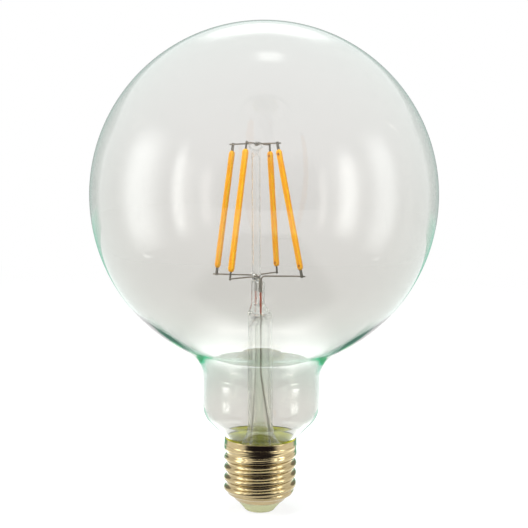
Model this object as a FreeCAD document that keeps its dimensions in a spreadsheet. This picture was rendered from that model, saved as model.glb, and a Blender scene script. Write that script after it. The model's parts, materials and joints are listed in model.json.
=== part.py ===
import FreeCAD, Part
import Sketcher
import math
import os

# Clear globe lamp, 125 mm across, with four long LED filaments on a glass stem and a 27 mm screw cap.
# Millimetres. +Z runs up the axis from the cap to the top of the globe. The origin is the lowest
# point of the contact's solder. The lamp is seen from -Y. Filaments are named as seen from there.

doc = FreeCAD.newDocument("globe_bulb")

# Driving dimensions

DIMENSIONS = (
    # globe and neck
    ("globe_radius", 62.5, "outside of the globe"),
    ("glass_wall", 0.8, "blown glass"),
    ("neck_radius", 21.0, "outside of the neck"),
    ("neck_length", 8.92, "straight part of the neck"),
    ("neck_fillet", 12.3, "hollow curve between globe and neck"),
    ("shoulder_radius", 8.2, "round above the cone"),
    ("cone_angle", 45.0, "cone below the shoulder, from the vertical"),
    ("rim_gap", 0.2, "cone inside the rim of the cap"),
    ("skirt_fillet", 2.0, "between cone and skirt"),
    ("skirt_depth", 5.4, "lower edge of the skirt below the rim of the cap"),
    # glass stem. Its heights are counted from the lower edge of the skirt.
    ("stem_lean", 1.0, "how far the mount leans towards -X, in degrees"),
    ("tube_radius", 4.5, "outside of the flare tube"),
    ("stem_wall", 0.9, "wall of tube and flare"),
    ("flare_radius", 9.0, "curve of the flare"),
    ("flare_angle", 60.0, "turn of the flare's curve"),
    ("flare_rise", 1.15, "rim of the flare above the skirt's edge"),
    ("seal_bite", 0.5, "rim of the flare melted into the skirt"),
    ("cavity_height", 50.1, "end of the hollow in the tube"),
    ("tube_end", 0.5, "full round tube above the hollow"),
    ("squeeze_length", 3.8, "from round tube to full pinch"),
    ("press_length", 7.7, "full pinch"),
    ("press_width", 8.4, "pinch across its wide side"),
    ("press_depth", 3.8, "pinch across its narrow side"),
    ("press_angle", 110.5, "direction of the wide side"),
    ("press_offset", 0.7, "pinch off the tube's axis, towards -X"),
    ("exhaust_radius", 1.6, "outside of the exhaust tube"),
    ("exhaust_wall", 0.5, "wall of the exhaust tube"),
    ("exhaust_offset", 0.2, "exhaust tube off the axis, towards -X"),
    ("exhaust_drop", 7.4, "sealed tip below the skirt's edge"),
    ("tip_length", 2.4, "cone of the sealed tip"),
    ("tip_wall", 0.75, "glass at the point of the tip"),
    ("blow_rise", 2.4, "bore of the exhaust tube above the hollow"),
    ("blow_hole_radius", 0.8, "side hole that empties the globe"),
    ("blow_hole_rise", 1.4, "middle of the side hole above the hollow"),
    ("rod_radius", 1.65, "support rod"),
    ("rod_offset", 1.3, "rod off the tube's axis, towards -X"),
    ("button_radius", 2.7, "melted end of the rod"),
    ("button_thickness", 3.2, "melted end of the rod"),
    ("button_drop", 0.9, "middle of the button below the upper anchor wire"),
    # filaments. Angles are in degrees about the rod, from +X towards +Y.
    ("coat_length", 44.0, "phosphor coat"),
    ("coat_width", 2.1, "phosphor coat, square with round edges"),
    ("coat_round", 0.7, "edges of the coat"),
    ("strip_length", 40.0, "ceramic strip inside the coat"),
    ("strip_width", 1.0, "ceramic strip"),
    ("strip_thickness", 0.4, "ceramic strip"),
    ("tab_length", 4.8, "metal end tab, coated part included"),
    ("tab_width", 1.0, "metal end tab"),
    ("tab_thickness", 0.25, "metal end tab"),
    ("tab_overhang", 0.5, "end of a tab past its wire"),
    ("top_spread", 9.0, "filament from the rod's axis at the anchor wire"),
    ("bottom_spread", 17.0, "filament from the rod's axis at the branch wire"),
    ("back_left_top", 159.0, "angle at the anchor wire"),
    ("back_left_bottom", 151.0, "angle at the branch wire"),
    ("front_left_top", 249.0, "angle at the anchor wire"),
    ("front_left_bottom", 238.0, "angle at the branch wire"),
    ("back_right_top", 56.0, "angle at the anchor wire"),
    ("back_right_bottom", 63.0, "angle at the branch wire"),
    ("front_right_top", -31.0, "angle at the anchor wire"),
    ("front_right_bottom", -16.0, "angle at the branch wire"),
    # wires
    ("anchor_radius", 0.26, "anchor wire"),
    ("anchor_gap", 0.12, "between the anchor wires where they cross"),
    ("anchor_turn", 1.1, "bend of an anchor wire outside the button"),
    ("branch_radius", 0.26, "branch wire"),
    ("branch_rise", 1.8, "bend of a branch wire above the pinch"),
    ("branch_run", 2.4, "straight end of a branch wire before its tab"),
    ("wire_bend", 1.3, "bends of anchor and branch wires"),
    ("wire_overrun", 1.2, "wire past its filament tab"),
    ("weld_gap", 0.01, "between a tab and its wire"),
    ("lead_radius", 0.3, "lead"),
    ("weld_rise", 3.7, "weld of lead and branch wires above the pinch's lower end"),
    ("lead_spread", 2.77, "lead from the middle of the pinch"),
    ("lead_gap", 0.12, "lead from the tube's inside"),
    ("lead_drop", 20.0, "straight lead below the hollow's end"),
    ("back_lead_angle", 156.0, "back lead in the tube, from +X towards +Y"),
    ("front_lead_angle", 331.0, "front lead in the tube, from +X towards +Y"),
    ("lead_in_flare", 1.8, "bend of a lead above the skirt's edge"),
    ("lead_in_cap", 0.8, "lead in front of the axis below the flare"),
    ("lead_side", 3.6, "solder point of a lead to the side of the axis"),
    ("back_lead_end", 3.0, "solder point below the skirt's edge"),
    ("front_lead_end", 3.9, "solder point below the skirt's edge"),
    # cap
    ("cap_height", 26.3, "rim above the contact"),
    ("cap_radius", 13.1, "crests of the thread"),
    ("collar_radius", 13.0, "plain collar above the thread"),
    ("cap_sheet", 0.3, "rolled sheet"),
    ("collar_height", 3.96, "from the rim to the end of the last root"),
    ("thread_pitch", 3.629, "seven threads to 25.4 mm"),
    ("thread_depth", 1.096, "from crest to root"),
    ("thread_start", 4.54, "root of the thread on the +X side, below the shell"),
    ("thread_bottom", 7.6, "where the shell starts to close"),
    ("corner_radius", 12.0, "bottom edge of the shell's wall"),
    ("corner_height", 6.9, "bottom edge of the shell's wall"),
    ("step_radius", 10.0, "step in the dished bottom"),
    ("step_height", 5.5, "step in the dished bottom"),
    ("step_tilt", 43.7, "slope of the sheet at the step"),
    ("edge_radius", 9.0, "edge of the sheet round the insulator"),
    ("edge_height", 4.2, "edge of the sheet round the insulator"),
    ("insulator_gap", 0.05, "insulator inside the shell"),
    ("insulator_foot", 1.0, "insulator round the contact"),
    ("foot_round", 0.5, "rounded lower edge of the insulator"),
    ("insulator_floor", 5.2, "floor inside the insulator"),
    ("insulator_top", 8.8, "top of the insulator's wall"),
    ("insulator_wall", 3.2, "wall of the insulator"),
    ("wire_hole", 0.9, "hole through the insulator"),
    ("contact_radius", 4.2, "centre contact"),
    ("contact_thickness", 0.4, "centre contact"),
    ("contact_stand", 0.2, "contact below the insulator"),
    ("contact_hole", 0.7, "hole in the contact"),
    ("solder_height", 0.15, "solder below the contact"),
    ("solder_radius", 1.7, "solder on the contact"),
    ("solder_flat", 1.1, "level foot of the solder"),
    ("solder_room", 0.15, "solder above the end of the contact's wire"),
    ("cement_room", 0.4, "between the skirt and the shell's roots"),
    ("cement_gap", 0.05, "cement inside the shell"),
    ("cement_bite", 0.15, "cement blank reaching into the glass before the cut"),
    ("cement_rise", 0.1, "lower edge of the cement above the skirt's edge"),
    ("cement_depth", 0.4, "upper edge of the cement below the rim"),
    # driver
    ("board_width", 18.0, "driver board"),
    ("board_room", 1.5, "driver board below the skirt's edge"),
    ("board_thickness", 1.0, "driver board"),
    ("board_face", 3.0, "front of the board from the axis, towards +Y"),
    ("board_margin", 1.0, "parts above the board's lower edge"),
    ("capacitor_radius", 2.5, "smoothing capacitor"),
    ("capacitor_room", 0.6, "capacitor below the board's upper edge"),
    ("capacitor_side", 5.6, "capacitor towards -X"),
    ("chip_width", 4.9, "driver chip"),
    ("chip_height", 3.9, "driver chip"),
    ("chip_thickness", 1.5, "driver chip"),
    ("rectifier_width", 4.7, "bridge rectifier"),
    ("rectifier_height", 3.8, "bridge rectifier"),
    ("rectifier_thickness", 2.4, "bridge rectifier"),
    ("rectifier_side", 5.3, "rectifier towards +X"),
    ("resistor_radius", 1.2, "fusible resistor"),
    ("resistor_room", 1.8, "resistor's wire below the board's upper edge"),
    ("resistor_side", 5.0, "resistor towards +X"),
    ("resistor_front", 3.2, "resistor towards -Y"),
    ("resistor_rise", 4.8, "resistor above the floor of the insulator"),
    ("hookup_radius", 0.25, "wires of the driver"),
    ("hookup_bend", 0.9, "bends of the driver's wires"),
    ("hookup_rise", 1.6, "wire above the resistor"),
    ("shell_wire_side", 7.5, "wire to the shell, towards -X at the board"),
    ("drop_radius", 0.9, "solder on the shell's inside"),
    ("drop_bite", 0.5, "middle of the solder drop inside the shell's wall"),
)

sheet = doc.addObject("Spreadsheet::Sheet", "Sizes")
for row, (alias, value, note) in enumerate(DIMENSIONS, start=1):
    sheet.set(f"A{row}", str(value))
    sheet.setAlias(f"A{row}", alias)
    sheet.set(f"B{row}", note)
doc.recompute()


class Size:
    """A size with its value and the expression that gives it from the sheet."""

    def __init__(self, value, text=None):
        self.value = float(value)
        self.text = text or repr(float(value))

    def joined(self, other, value, sign):
        other = other if isinstance(other, Size) else Size(other)
        return Size(value(self.value, other.value), f"({self.text} {sign} {other.text})")

    def __add__(self, other):
        return self.joined(other, lambda a, b: a + b, "+")

    def __sub__(self, other):
        return self.joined(other, lambda a, b: a - b, "-")

    def __mul__(self, other):
        return self.joined(other, lambda a, b: a * b, "*")

    def __truediv__(self, other):
        return self.joined(other, lambda a, b: a / b, "/")

    def __neg__(self):
        return Size(-self.value, f"(-{self.text})")

    def __float__(self):
        return self.value


class Sizes:
    """The sheet's cells by name."""

    def __getattr__(self, alias):
        return Size(sheet.get(alias), f"Sizes.{alias}")


s = Sizes()


def sine(angle):
    return Size(math.sin(math.radians(angle.value)), f"sin({angle.text})")


def cosine(angle):
    return Size(math.cos(math.radians(angle.value)), f"cos({angle.text})")


def arcsine(share):
    return Size(math.degrees(math.asin(share.value)), f"asin({share.text})")


def root(area):
    return Size(math.sqrt(area.value), f"sqrt({area.text})")


def vector(x, y, z):
    return FreeCAD.Vector(float(x), float(y), float(z))


# Drawing helpers. A distance below ON_AXIS counts as none, and edges closer than SAME_EDGE are one.

ON_AXIS = 1e-9
SAME_EDGE = 1e-4


def new_body(label):
    body = doc.addObject("PartDesign::Body", label)
    body.Label = label
    return body


def new_sketch(body, name, plane, lift=None):
    """Sketch on one of the body's own origin planes, lifted along the plane's normal."""
    sketch = body.newObject("Sketcher::SketchObject", name)
    side = [f for f in body.Origin.OriginFeatures if f.Role == plane][0]
    sketch.AttachmentSupport = [(side, "")]
    sketch.MapMode = "FlatFace"
    if lift is not None:
        sketch.setExpression(".AttachmentOffset.Base.z", lift.text)
        doc.recompute()
    return sketch


def pin(sketch, edge, end, x, y):
    """Ties an edge's end to its two distances from the sketch's origin."""
    for kind, axis, size in (("DistanceX", -2, x), ("DistanceY", -1, y)):
        if abs(float(size)) < ON_AXIS:
            sketch.addConstraint(Sketcher.Constraint("PointOnObject", edge, end, axis))
            continue
        index = sketch.addConstraint(Sketcher.Constraint(kind, -1, 1, edge, end, float(size)))
        sketch.setExpression(f"Constraints[{index}]", size.text)


def closed_outline(sketch, corners):
    """Closed outline. A corner is (x, y), or (x, y, radius, side) where an arc leads up to it.

    side is +1 for an arc that turns left on its way and -1 for one that turns right.
    """
    corners = [corner if len(corner) == 4 else (*corner, None, 0) for corner in corners]
    for index, corner in enumerate(corners):
        before = corners[index - 1]
        start = vector(before[0], before[1], 0)
        end = vector(corner[0], corner[1], 0)
        if corner[2] is None:
            sketch.addGeometry(Part.LineSegment(start, end), False)
            continue
        sketch.addGeometry(arc_between(start, end, float(corner[2]), corner[3]), False)
    count = len(corners)
    for index, corner in enumerate(corners):
        forward = corner[3] >= 0
        last = 2 if forward else 1
        following = corners[(index + 1) % count]
        first = 1 if following[3] >= 0 else 2
        sketch.addConstraint(Sketcher.Constraint("Coincident", index, last, (index + 1) % count, first))
        pin(sketch, index, last, corner[0], corner[1])
        if corner[2] is not None:
            place = sketch.addConstraint(Sketcher.Constraint("Radius", index, float(corner[2])))
            sketch.setExpression(f"Constraints[{place}]", corner[2].text)


def arc_between(start, end, radius, side):
    """Arc under half a turn from start to end, as a counterclockwise arc of a circle."""
    chord = end - start
    rise = math.sqrt(radius ** 2 - (chord.Length / 2) ** 2)
    left = FreeCAD.Vector(-chord.y, chord.x, 0).normalize()
    centre = (start + end) * 0.5 + left * (rise * side)
    angles = [math.atan2(p.y - centre.y, p.x - centre.x) for p in (start, end)]
    if side < 0:
        angles.reverse()
    return Part.ArcOfCircle(Part.Circle(centre, FreeCAD.Vector(0, 0, 1), radius), *angles)


def revolved(label, corners):
    """Body turned about its upright axis from an outline of (radius, height) corners."""
    body = new_body(label)
    sketch = new_sketch(body, label + "_sketch", "XZ_Plane")
    closed_outline(sketch, corners)
    turn = body.newObject("PartDesign::Revolution", label + "_turn")
    turn.Profile = sketch
    turn.ReferenceAxis = (sketch, ["V_Axis"])
    turn.Angle = 360
    doc.recompute()
    return body


def padded(body, sketch, length):
    pad = body.newObject("PartDesign::Pad", body.Name + "_pad")
    pad.Profile = sketch
    pad.setExpression("Length", length.text)
    doc.recompute()


def ring_edges(shape, radius, height):
    """Names of the round edges of one radius at one height."""
    names = []
    for index, edge in enumerate(shape.Edges, start=1):
        curve = edge.Curve
        if not isinstance(curve, Part.Circle):
            continue
        aside = abs(curve.Radius - float(radius))
        above = abs(curve.Center.z - float(height))
        if aside < SAME_EDGE and above < SAME_EDGE:
            names.append(f"Edge{index}")
    return names


def rounded(body, radius, names):
    solid = body.Tip
    fillet = body.newObject("PartDesign::Fillet", body.Name + "_fillet")
    fillet.Base = (solid, names)
    fillet.setExpression("Radius", radius.text)
    doc.recompute()


def rectangle(sketch, left, right, bottom, top):
    closed_outline(sketch, ((left, bottom), (right, bottom), (right, top), (left, top)))


# Wires

def bent_path(points, bend):
    """Straight runs joined by tangent arcs, as one wire."""
    edges = []
    start = points[0]
    for before, corner, after in zip(points, points[1:], points[2:]):
        inward = (before - corner).normalize()
        outward = (after - corner).normalize()
        turn = math.pi - inward.getAngle(outward)
        reach = bend * math.tan(turn / 2)
        first = corner + inward * reach
        last = corner + outward * reach
        bulge = corner + (inward + outward).normalize() * (bend / math.cos(turn / 2) - bend)
        edges.append(Part.LineSegment(start, first).toShape())
        edges.append(Part.Arc(first, bulge, last).toShape())
        start = last
    edges.append(Part.LineSegment(start, points[-1]).toShape())
    return Part.Wire(edges)


def bent_wire(label, radius, bend, points, placement=None):
    """Round wire along straight runs and arcs."""
    points = [placement.multVec(point) for point in points] if placement else points
    path = doc.addObject("Part::Feature", label + "_path")
    path.Shape = bent_path(points, float(bend))
    section = doc.addObject("Part::Circle", label + "_section")
    section.setExpression("Radius", radius.text)
    facing = FreeCAD.Rotation(FreeCAD.Vector(0, 0, 1), points[1] - points[0])
    section.Placement = FreeCAD.Placement(points[0], facing)
    wire = doc.addObject("Part::Sweep", label)
    wire.Label = label
    wire.Sections = [section]
    wire.Spine = (path, [])
    wire.Solid = True
    wire.Frenet = False
    doc.recompute()
    return wire


def cut(label, base, tool):
    result = doc.addObject("Part::Cut", label)
    result.Label = label
    result.Base = base
    result.Tool = tool
    doc.recompute()
    return result


def fused(label, shapes):
    result = doc.addObject("Part::MultiFuse", label)
    result.Shapes = shapes
    doc.recompute()
    return result


def cylinder(label, radius, height, placement):
    result = doc.addObject("Part::Cylinder", label)
    result.Label = label
    result.setExpression("Radius", radius.text)
    result.setExpression("Height", height.text)
    result.Placement = placement
    doc.recompute()
    return result


def box(label, left, front, bottom, width, depth, height):
    result = doc.addObject("Part::Box", label)
    result.Label = label
    result.setExpression("Length", width.text)
    result.setExpression("Width", depth.text)
    result.setExpression("Height", height.text)
    result.Placement = FreeCAD.Placement(vector(left, front, bottom), FreeCAD.Rotation())
    doc.recompute()
    return result


# Places that several pieces share

ZERO = Size(0)
LAST_ROOT = s.cap_height - s.collar_height
THREAD_ARC = (s.thread_pitch * s.thread_pitch / 16 + s.thread_depth * s.thread_depth / 4) / s.thread_depth
THREAD_SIDE = arcsine(s.thread_pitch / 4 / THREAD_ARC)
THREAD_ROOT = s.cap_radius - s.thread_depth
CORE = THREAD_ROOT - s.cap_sheet
COLLAR_INSIDE = s.collar_radius - s.cap_sheet
NECK_LOW = LAST_ROOT + s.cap_sheet
NECK_HIGH = LAST_ROOT + s.thread_pitch / 2
STEP_IN = s.step_radius - s.cap_sheet * sine(s.step_tilt)
STEP_UP = s.step_height + s.cap_sheet * cosine(s.step_tilt)
DISH_SLOPE = (s.corner_height - s.step_height) / (s.corner_radius - s.step_radius)
EDGE_RUN = s.step_radius - s.edge_radius
EDGE_RISE = s.step_height - s.edge_height
EDGE_IN = s.edge_radius - s.cap_sheet * root(EDGE_RUN * EDGE_RUN + EDGE_RISE * EDGE_RISE) / EDGE_RISE
SOLDER_LEVEL = s.thread_start + s.thread_pitch * 2.5
CONTACT_TOP = s.solder_height + s.contact_thickness
WIRE_FOOT = s.solder_height + s.solder_room
SEAL = s.cap_height - s.skirt_depth
SKIRT = CORE - s.cement_room
BOARD_TOP = SEAL - s.board_room
RESISTOR_LOW = s.insulator_floor + s.resistor_rise
RESISTOR_WIRE = BOARD_TOP - s.resistor_room
RESISTOR_HIGH = RESISTOR_WIRE - s.hookup_rise
PRESS_LOW = s.cavity_height + s.tube_end + s.squeeze_length
PRESS_HIGH = PRESS_LOW + s.press_length
WELD = PRESS_LOW + s.weld_rise
BRANCH = PRESS_HIGH + s.branch_rise
SPAN = s.strip_length + (s.tab_length - s.tab_overhang) * 2
SPREAD = s.bottom_spread - s.top_spread
ANCHOR = BRANCH + root(SPAN * SPAN - SPREAD * SPREAD)
BUTTON = ANCHOR - s.button_drop


# Globe and neck, blown in one piece

def glass_envelope():
    """Wall of even thickness: every arc of the inside shares its centre with one of the outside."""
    a = s.cone_angle
    wall = s.glass_wall
    rim = COLLAR_INSIDE - s.rim_gap
    shoulder_middle = s.neck_radius - s.shoulder_radius
    cone_start = shoulder_middle + s.shoulder_radius * cosine(a)
    cone_end = SKIRT + s.skirt_fillet - s.skirt_fillet * cosine(a)
    shoulder = s.cap_height + (cone_start - rim) * cosine(a) / sine(a) + s.shoulder_radius * sine(a)
    skirt_top = s.cap_height + (cone_end - rim) * cosine(a) / sine(a) - s.skirt_fillet * sine(a)
    neck_top = shoulder + s.neck_length
    fillet_radius = s.neck_radius + s.neck_fillet
    reach = s.globe_radius + s.neck_fillet
    drop = root(reach * reach - fillet_radius * fillet_radius)
    middle = neck_top + drop
    inside = s.globe_radius - wall

    def on_globe(radius):
        share = radius / reach
        return fillet_radius * share, middle - drop * share

    def on_shoulder(radius):
        return shoulder_middle + radius * cosine(a), shoulder - radius * sine(a)

    def on_skirt(radius):
        return SKIRT + s.skirt_fillet - radius * cosine(a), skirt_top + radius * sine(a)

    return revolved("glass_envelope", (
        (ZERO, middle + s.globe_radius),
        (*on_globe(s.globe_radius), s.globe_radius, -1),
        (s.neck_radius, neck_top, s.neck_fillet, +1),
        (s.neck_radius, shoulder),
        (*on_shoulder(s.shoulder_radius), s.shoulder_radius, -1),
        on_skirt(s.skirt_fillet),
        (SKIRT, skirt_top, s.skirt_fillet, +1),
        (SKIRT, SEAL),
        (SKIRT - wall, SEAL),
        (SKIRT - wall, skirt_top),
        (*on_skirt(s.skirt_fillet + wall), s.skirt_fillet + wall, -1),
        on_shoulder(s.shoulder_radius - wall),
        (s.neck_radius - wall, shoulder, s.shoulder_radius - wall, +1),
        (s.neck_radius - wall, neck_top),
        (*on_globe(inside), s.neck_fillet + wall, -1),
        (ZERO, middle + inside, inside, +1),
    ))


# The mount: stem, rod, wires and filaments lean together about the skirt's lower edge, their zero

LEAN = FreeCAD.Placement(
    vector(0, 0, SEAL),
    FreeCAD.Rotation(FreeCAD.Vector(0, 1, 0), -float(s.stem_lean)),
)


def moved_in(x, z=0.0, turn=0.0):
    """Placement in the leaning mount."""
    spin = FreeCAD.Rotation(FreeCAD.Vector(0, 0, 1), float(turn))
    return LEAN * FreeCAD.Placement(vector(x, 0, z), spin)


def exhaust_tube():
    """Thin tube open to the globe above, drawn off and sealed to a point below."""
    inner = s.exhaust_radius - s.exhaust_wall
    body = revolved("exhaust_tube", (
        (inner, s.cavity_height),
        (inner, s.tip_length - s.exhaust_drop),
        (ZERO, s.tip_wall - s.exhaust_drop),
        (ZERO, -s.exhaust_drop),
        (s.exhaust_radius, s.tip_length - s.exhaust_drop),
        (s.exhaust_radius, s.cavity_height),
    ))
    body.Placement = moved_in(-s.exhaust_offset)
    return body


def place_in_press(side):
    """Lead's place in the pinch: side is +1 at the back and -1 at the front."""
    angle = math.radians(float(s.press_angle))
    spread = side * float(s.lead_spread)
    return spread * math.cos(angle) - float(s.press_offset), spread * math.sin(angle)


def stem_flare(envelope, wires):
    """Flared tube, squeezed at its top round the leads."""
    angle = s.flare_angle
    wall = s.stem_wall
    middle = s.tube_radius + s.flare_radius
    rim = SKIRT - s.glass_wall + s.seal_bite
    curve_end = middle - s.flare_radius * cosine(angle)
    curve_low = s.flare_rise + (rim - curve_end) * cosine(angle) / sine(angle)
    curve_high = curve_low + s.flare_radius * sine(angle)
    round_end = s.cavity_height + s.tube_end
    tube = revolved("flare_tube", (
        (ZERO, round_end),
        (ZERO, s.cavity_height),
        (s.tube_radius - wall, s.cavity_height),
        (s.tube_radius - wall, curve_high),
        (curve_end - wall * cosine(angle), curve_low - wall * sine(angle), s.flare_radius + wall, +1),
        (rim - wall * cosine(angle), s.flare_rise - wall * sine(angle)),
        (rim, s.flare_rise),
        (curve_end, curve_low),
        (s.tube_radius, curve_high, s.flare_radius, -1),
        (s.tube_radius, round_end),
    ))
    tube.Placement = LEAN
    sections = [doc.addObject("Part::Circle", "squeeze_start")]
    sections[0].setExpression("Radius", s.tube_radius.text)
    sections[0].Placement = moved_in(0, round_end, s.press_angle)
    for name, height in (("pinch_low", PRESS_LOW), ("pinch_high", PRESS_HIGH)):
        section = doc.addObject("Part::Ellipse", name)
        section.setExpression("MajorRadius", (s.press_width / 2).text)
        section.setExpression("MinorRadius", (s.press_depth / 2).text)
        section.Placement = moved_in(-s.press_offset, height, s.press_angle)
        sections.append(section)
    pinch = doc.addObject("Part::Loft", "pinch")
    pinch.Sections = sections
    pinch.Solid = True
    pinch.Ruled = True
    blank = fused("stem_blank", [tube, pinch])
    bore = cylinder("blow_bore", s.exhaust_radius - s.exhaust_wall, s.blow_rise,
                    moved_in(-s.exhaust_offset, s.cavity_height))
    sideways = FreeCAD.Placement(vector(0, 0, s.cavity_height + s.blow_hole_rise),
                                 FreeCAD.Rotation(FreeCAD.Vector(0, 0, 1), FreeCAD.Vector(-1, 0, 0)))
    hole = cylinder("blow_hole", s.blow_hole_radius, s.tube_radius, moved_in(-s.exhaust_offset) * sideways)
    sealed = cut("sealed_stem", blank, envelope)
    wired = cut("wired_stem", sealed, fused("wires_in_glass", wires))
    return cut("stem_flare", wired, fused("blow_way", [bore, hole]))


def support_rod(anchors):
    """Rod with its melted button, a disc with a full round edge."""
    half = s.button_thickness / 2
    middle = s.button_radius - half
    inset = s.rod_radius - middle
    rod = revolved("rod_blank", (
        (ZERO, BUTTON + half),
        (ZERO, PRESS_HIGH),
        (s.rod_radius, PRESS_HIGH),
        (s.rod_radius, BUTTON - root(half * half - inset * inset)),
        (s.button_radius, BUTTON, half, +1),
        (middle, BUTTON + half, half, +1),
    ))
    rod.Placement = moved_in(-s.rod_offset)
    return cut("support_rod", rod, fused("anchors_in_glass", anchors))


# Filaments

class Filament:
    """Where one filament stands, and the frame of its flat tabs."""

    def __init__(self, name, top_angle, bottom_angle):
        self.name = name
        top_turn = math.radians(float(top_angle))
        bottom_turn = math.radians(float(bottom_angle))
        turn = (top_turn + bottom_turn) / 2
        self.outward = FreeCAD.Vector(math.cos(turn), math.sin(turn), 0)
        self.side = FreeCAD.Vector(-math.sin(turn), math.cos(turn), 0)
        high = self.spoke(top_turn, s.top_spread)
        self.bottom = self.spoke(bottom_turn, s.bottom_spread) + vector(0, 0, BRANCH)
        slant = (high - self.bottom).projectToPlane(FreeCAD.Vector(), FreeCAD.Vector(0, 0, 1))
        rise = math.sqrt(float(SPAN) ** 2 - slant.Length ** 2)
        self.top = high + vector(0, 0, float(BRANCH) + rise)
        self.along = (self.top - self.bottom).normalize()
        self.flat = (self.side - self.along * self.side.dot(self.along)).normalize()
        across = self.flat.cross(self.along)
        middle = (self.top + self.bottom) * 0.5
        axes = (across, self.flat, self.along, middle)
        rows = [getattr(axis, letter) for letter in "xyz" for axis in axes]
        self.place = LEAN * FreeCAD.Placement(FreeCAD.Matrix(*rows))

    @staticmethod
    def spoke(turn, radius):
        reach = float(radius)
        return vector(reach * math.cos(turn) - float(s.rod_offset), reach * math.sin(turn), 0)

    def weld(self, point, wire_radius, along_wire):
        """Point of a wire's axis beside the tab, further out by along_wire."""
        away = float(wire_radius + s.tab_thickness / 2 + s.weld_gap) / self.side.dot(self.flat)
        return point + self.side * away + self.outward * float(along_wire)


def filament_pieces(filament):
    """Ceramic strip with a tab at each end, and the phosphor coat round them."""
    name = filament.name
    half = s.strip_length / 2

    def bar(label, width, thickness, length, bottom):
        body = new_body(label)
        sketch = new_sketch(body, label + "_sketch", "XY_Plane", bottom)
        rectangle(sketch, -width / 2, width / 2, -thickness / 2, thickness / 2)
        padded(body, sketch, length)
        body.Placement = filament.place
        return body

    pieces = [
        bar("filament_strip_" + name, s.strip_width, s.strip_thickness, s.strip_length, -half),
        bar("top_tab_" + name, s.tab_width, s.tab_thickness, s.tab_length, half),
        bar("bottom_tab_" + name, s.tab_width, s.tab_thickness, s.tab_length, -half - s.tab_length),
    ]
    blank = bar("coat_blank_" + name, s.coat_width, s.coat_width, s.coat_length, -s.coat_length / 2)
    edges = [f"Edge{index + 1}" for index in range(len(blank.Tip.Shape.Edges))]
    rounded(blank, s.coat_round, edges)
    inside = fused("inside_of_" + name, pieces)
    return pieces + [cut("phosphor_coat_" + name, blank, inside)]


def anchor_wire(label, first, last, height):
    """Wire over two filament tabs and through the button between them."""
    radius = s.anchor_radius
    inset = s.top_spread - s.button_radius - s.anchor_turn
    points = [
        first.weld(first.top, radius, s.wire_overrun),
        first.weld(first.top, radius, -inset),
        vector(-s.rod_offset, 0, height),
        last.weld(last.top, radius, -inset),
        last.weld(last.top, radius, s.wire_overrun),
    ]
    return bent_wire(label, radius, s.wire_bend, points, LEAN)


def branch_wire(filament, side, hand):
    """Wire from the lead's weld, up out of the pinch and out to the filament's lower tab.

    side is +1 for the back lead and -1 for the front one, hand the side of the lead it is welded to.
    """
    radius = s.branch_radius
    x, y = place_in_press(side)
    x += hand * float(radius + s.weld_gap)
    points = [
        vector(x, y, WELD),
        vector(x, y, BRANCH),
        filament.weld(filament.bottom, radius, -s.branch_run),
        filament.weld(filament.bottom, radius, s.wire_overrun),
    ]
    return bent_wire("branch_wire_" + filament.name, radius, s.wire_bend, points, LEAN)


def lead(label, side, tube_angle, drop):
    """Lead down the tube beside the exhaust tube and out of the flare to the board's face."""
    x, y = place_in_press(side)
    turn = math.radians(float(tube_angle))
    off_axis = float(s.tube_radius - s.stem_wall - s.lead_radius - s.lead_gap)
    low_x, low_y = off_axis * math.cos(turn), off_axis * math.sin(turn)
    board_x = math.copysign(float(s.lead_side), low_x)
    board_y = math.copysign(float(s.lead_in_cap), low_y)
    points = [
        vector(x, y, WELD),
        vector(x, y, s.cavity_height - s.lead_drop),
        vector(low_x, low_y, s.flare_rise + s.flare_radius),
        vector(board_x, board_y, s.lead_in_flare),
        vector(board_x, board_y, -drop),
        vector(board_x, s.board_face, -drop),
    ]
    return bent_wire(label, s.lead_radius, s.hookup_bend, points, LEAN)


# Screw cap

def helical_groove(body, name, corners, height):
    """Groove of one section along the right-hand thread, from its sketch upwards."""
    sketch = new_sketch(body, name + "_section", "XZ_Plane")
    closed_outline(sketch, corners)
    doc.recompute()
    before = body.Tip.Shape.Volume
    groove = body.newObject("PartDesign::SubtractiveHelix", name)
    groove.Profile = sketch
    groove.ReferenceAxis = (sketch, ["V_Axis"])
    groove.Mode = 0
    groove.setExpression("Pitch", s.thread_pitch.text)
    groove.setExpression("Height", height.text)
    doc.recompute()
    if body.Tip.Shape.Volume >= before:
        raise RuntimeError(name + " cuts nothing")


def round_of_thread(middle, radius, angles, outwards):
    """Points of one round about its middle. Angles are from the level, positive upwards."""
    points = []
    for angle in angles:
        reach = radius * cosine(angle)
        level = middle[0] + reach if outwards else middle[0] - reach
        points.append((level, middle[1] + radius * sine(angle)))
    return points


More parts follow.
